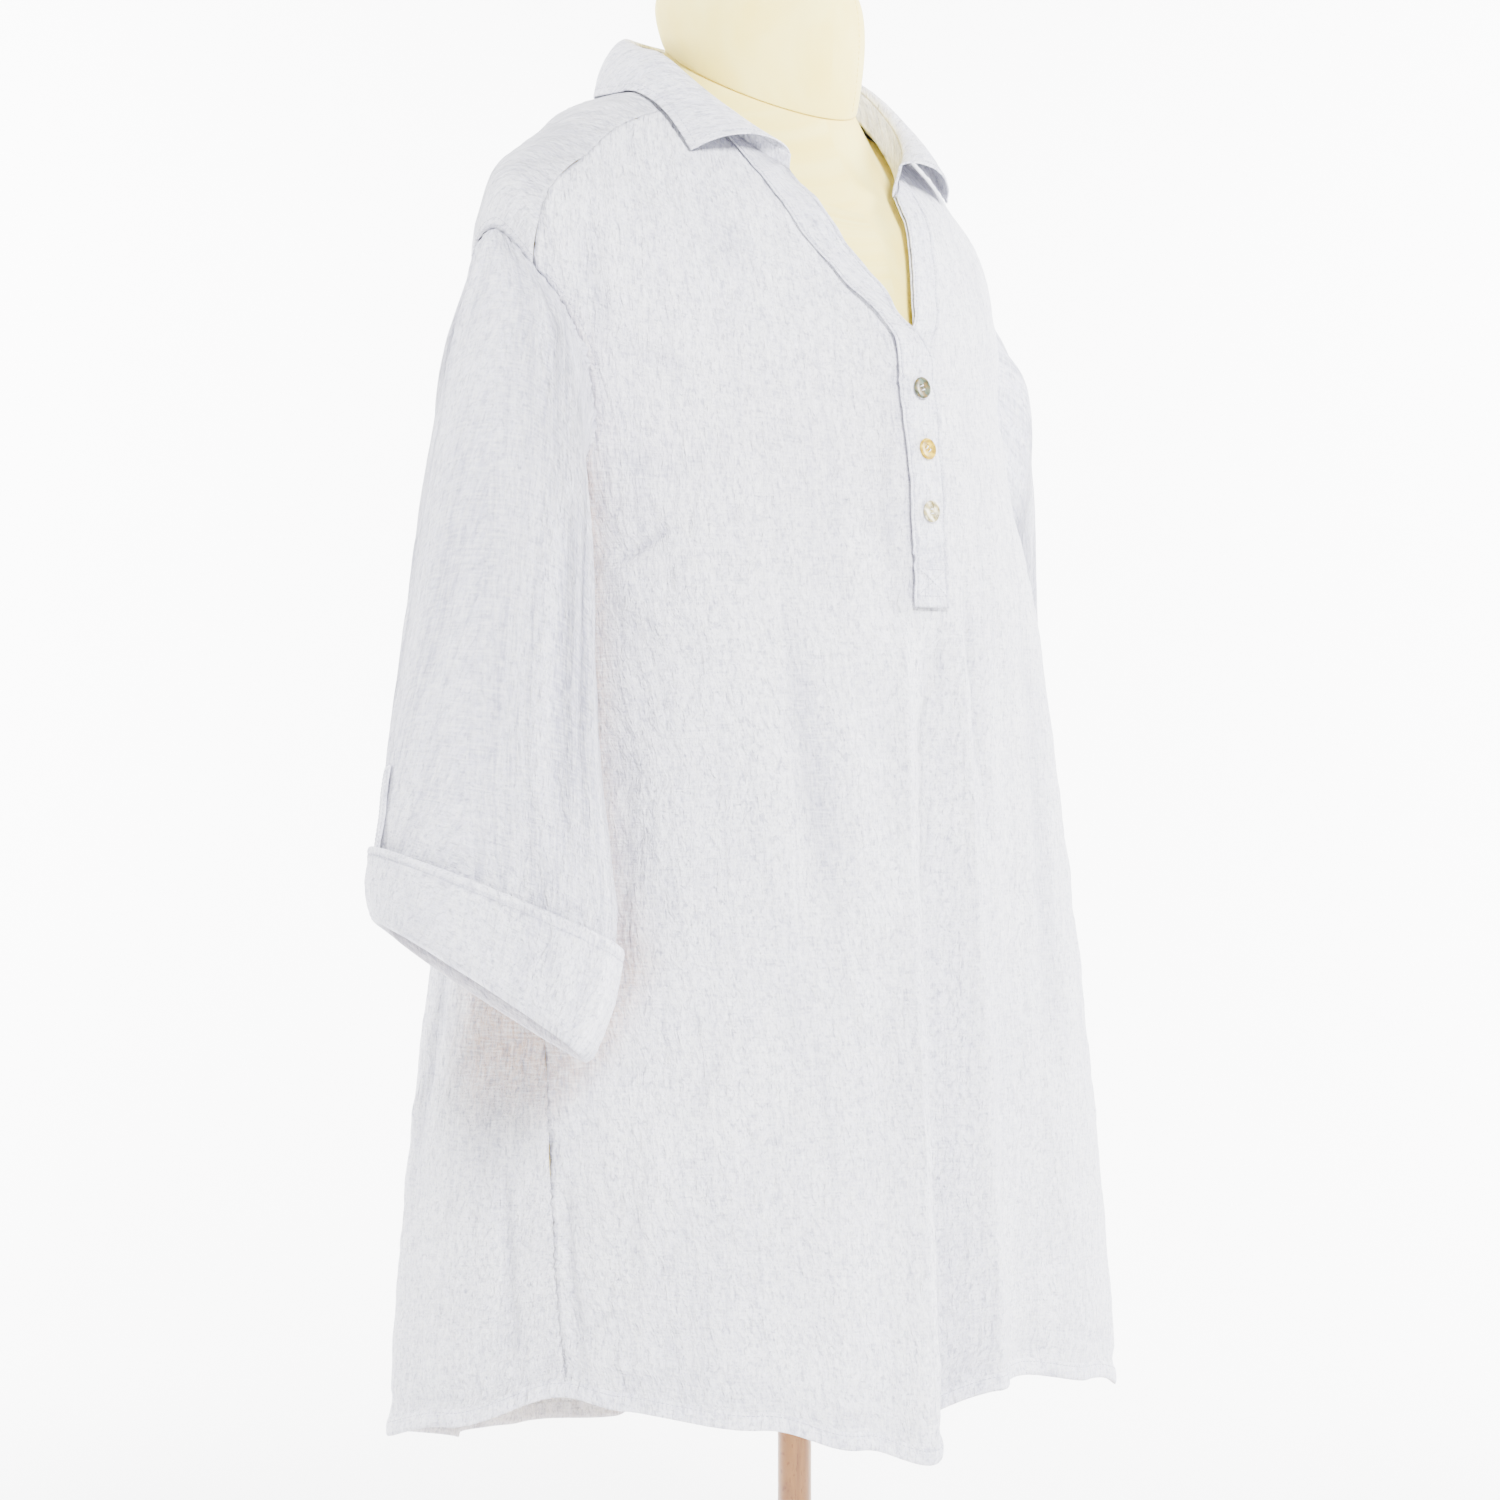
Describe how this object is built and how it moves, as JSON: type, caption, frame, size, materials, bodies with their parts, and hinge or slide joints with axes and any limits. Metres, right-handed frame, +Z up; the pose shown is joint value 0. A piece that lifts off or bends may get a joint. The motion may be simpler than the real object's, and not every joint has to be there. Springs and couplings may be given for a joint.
{
  "type": "longline blouse on a dress form",
  "caption": "Loose longline pullover blouse with a V placket, turned-down collar and turned-up sleeves, on a limbless jersey dress form with a round wooden stand.",
  "frame": {"origin": "centre of the underside of the round base, on the floor", "axes": "+Z up along the pole, the wearer's front towards -Y, the wearer's left towards +X"},
  "size_m": [0.5344, 0.332, 1.032],
  "materials": {
    "voile": "matt crinkled white cotton voile",
    "voile doubled": "two layers of the same voile, less see-through",
    "shell green": "polished grey-green shell",
    "shell gold": "polished golden shell",
    "shell cream": "polished cream shell with an olive rim",
    "cream jersey": "matt fine cream jersey over the form",
    "turned beech": "satin lacquered"
  },
  "bodies": {
    "root": {"front": "voile", "back": "voile", "yoke": "voile", "sleeve_right": "voile", "sleeve_left": "voile", "cuff_right": "voile doubled", "cuff_left": "voile doubled", "tab_right": "voile doubled", "tab_left": "voile doubled", "collar": "voile doubled", "collar_stand": "voile doubled", "placket_right": "voile doubled", "placket_left": "voile doubled", "button_top": "shell green", "button_middle": "shell gold", "button_bottom": "shell cream", "form_torso": "cream jersey", "form_neck": "cream jersey", "form_pole": "turned beech", "form_base": "turned beech"}
  },
  "joints": []
}
